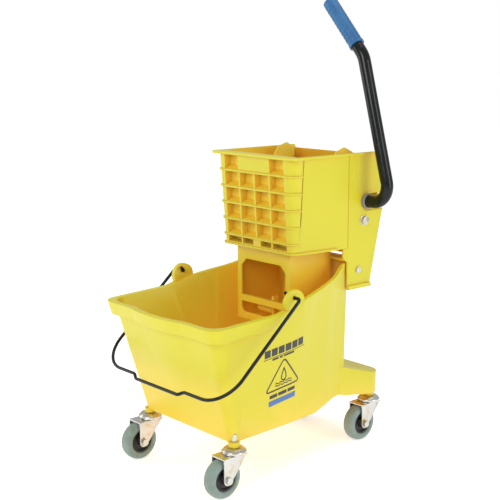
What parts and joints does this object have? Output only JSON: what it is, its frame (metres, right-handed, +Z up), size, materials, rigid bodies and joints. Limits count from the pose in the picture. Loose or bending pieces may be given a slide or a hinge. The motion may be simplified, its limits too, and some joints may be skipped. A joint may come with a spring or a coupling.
{
  "type": "mop bucket with side-press wringer",
  "caption": "Wheeled plastic mop bucket with a spout front, wire bail, and a lift-off side-press wringer worked by a bent lever.",
  "frame": {"origin": "on the floor, under the middle of the object's overall length and width", "axes": "+Z up, -Y the pouring front, +X the side that carries the press handle"},
  "size_m": [0.3864, 0.537, 0.9267],
  "materials": {
    "yellow_plastic": "satin",
    "black_wire": "gloss",
    "black_tube": "gloss",
    "blue_grip": "matte",
    "zinc_steel": "bright zinc",
    "cast_gear": "matte",
    "grey_nylon": "matte",
    "black_hub": "satin",
    "grey_tyre": "matte"
  },
  "bodies": {
    "bucket": {"bucket_tub": "yellow_plastic", "caster_front_left_stem": "zinc_steel", "caster_front_left_cup": "zinc_steel", "caster_front_left_balls": "zinc_steel", "caster_front_right_stem": "zinc_steel", "caster_front_right_cup": "zinc_steel", "caster_front_right_balls": "zinc_steel", "caster_rear_left_stem": "zinc_steel", "caster_rear_left_cup": "zinc_steel", "caster_rear_left_balls": "zinc_steel", "caster_rear_right_stem": "zinc_steel", "caster_rear_right_cup": "zinc_steel", "caster_rear_right_balls": "zinc_steel"},
    "bail": {"bail_handle": "black_wire"},
    "wringer": {"wringer_hopper": "yellow_plastic", "wringer_skirt": "yellow_plastic", "drain_lug": "yellow_plastic", "rear_cover": "yellow_plastic", "press_plate_rod": "zinc_steel", "axle_bolt": "zinc_steel", "axle_nut": "zinc_steel", "cover_screws": "zinc_steel", "shaft_bush_left": "grey_nylon", "shaft_bush_right": "grey_nylon"},
    "handle": {"handle_tube": "black_tube", "handle_grip": "blue_grip", "grip_collar": "blue_grip", "pinion_left": "cast_gear", "pinion_right": "cast_gear"},
    "sector": {"sector_left": "cast_gear", "sector_right": "cast_gear", "push_roller_left": "grey_nylon", "push_roller_right": "grey_nylon"},
    "press": {"press_plate": "yellow_plastic"},
    "front_left_fork": {"caster_front_left_fork": "zinc_steel", "caster_front_left_axle": "zinc_steel"},
    "front_left_wheel": {"caster_front_left_hub": "black_hub", "caster_front_left_tyre": "grey_tyre"},
    "front_right_fork": {"caster_front_right_fork": "zinc_steel", "caster_front_right_axle": "zinc_steel"},
    "front_right_wheel": {"caster_front_right_hub": "black_hub", "caster_front_right_tyre": "grey_tyre"},
    "rear_left_fork": {"caster_rear_left_fork": "zinc_steel", "caster_rear_left_axle": "zinc_steel"},
    "rear_left_wheel": {"caster_rear_left_hub": "black_hub", "caster_rear_left_tyre": "grey_tyre"},
    "rear_right_fork": {"caster_rear_right_fork": "zinc_steel", "caster_rear_right_axle": "zinc_steel"},
    "rear_right_wheel": {"caster_rear_right_hub": "black_hub", "caster_rear_right_tyre": "grey_tyre"}
  },
  "joints": [
    {"name": "bail_swing", "type": "hinge", "parent": "bucket", "child": "bail", "pos_m": [0, -0.0625, 0.366], "axis": [-1, 0, 0], "range_deg": [0, 125]},
    {"name": "wringer_lift", "type": "slide", "parent": "bucket", "child": "wringer", "axis": [0, 0, 1], "range_m": [0, 0.25]},
    {"name": "handle_turn", "type": "hinge", "parent": "wringer", "child": "handle", "pos_m": [0, 0.1945, 0.518], "axis": [1, 0, 0], "range_deg": [0, 45]},
    {"name": "sector_turn", "type": "hinge", "parent": "wringer", "child": "sector", "pos_m": [0, 0.1835, 0.48], "axis": [1, 0, 0], "range_deg": [-45, 0]},
    {"name": "press_swing", "type": "hinge", "parent": "wringer", "child": "press", "pos_m": [0, 0.03, 0.44], "axis": [1, 0, 0], "range_deg": [0, 32]},
    {"name": "front_left_swivel", "type": "hinge", "parent": "bucket", "child": "front_left_fork", "pos_m": [-0.132, -0.1755, 0.0825], "axis": [0, 0, 1], "continuous": true},
    {"name": "front_left_roll", "type": "hinge", "parent": "front_left_fork", "child": "front_left_wheel", "pos_m": [-0.132, -0.205, 0.0381], "axis": [1, 0, 0], "continuous": true},
    {"name": "front_right_swivel", "type": "hinge", "parent": "bucket", "child": "front_right_fork", "pos_m": [0.132, -0.1755, 0.0825], "axis": [0, 0, 1], "continuous": true},
    {"name": "front_right_roll", "type": "hinge", "parent": "front_right_fork", "child": "front_right_wheel", "pos_m": [0.132, -0.205, 0.0381], "axis": [1, 0, 0], "continuous": true},
    {"name": "rear_left_swivel", "type": "hinge", "parent": "bucket", "child": "rear_left_fork", "pos_m": [-0.089, 0.2415, 0.0825], "axis": [0, 0, 1], "continuous": true},
    {"name": "rear_left_roll", "type": "hinge", "parent": "rear_left_fork", "child": "rear_left_wheel", "pos_m": [-0.089, 0.212, 0.0381], "axis": [1, 0, 0], "continuous": true},
    {"name": "rear_right_swivel", "type": "hinge", "parent": "bucket", "child": "rear_right_fork", "pos_m": [0.089, 0.2415, 0.0825], "axis": [0, 0, 1], "continuous": true},
    {"name": "rear_right_roll", "type": "hinge", "parent": "rear_right_fork", "child": "rear_right_wheel", "pos_m": [0.089, 0.212, 0.0381], "axis": [1, 0, 0], "continuous": true}
  ],
  "couplings": [
    {"joint": "sector_turn", "follows": "handle_turn", "ratio": -1},
    {"joint": "press_swing", "follows": "handle_turn", "ratio": 0.7}
  ]
}
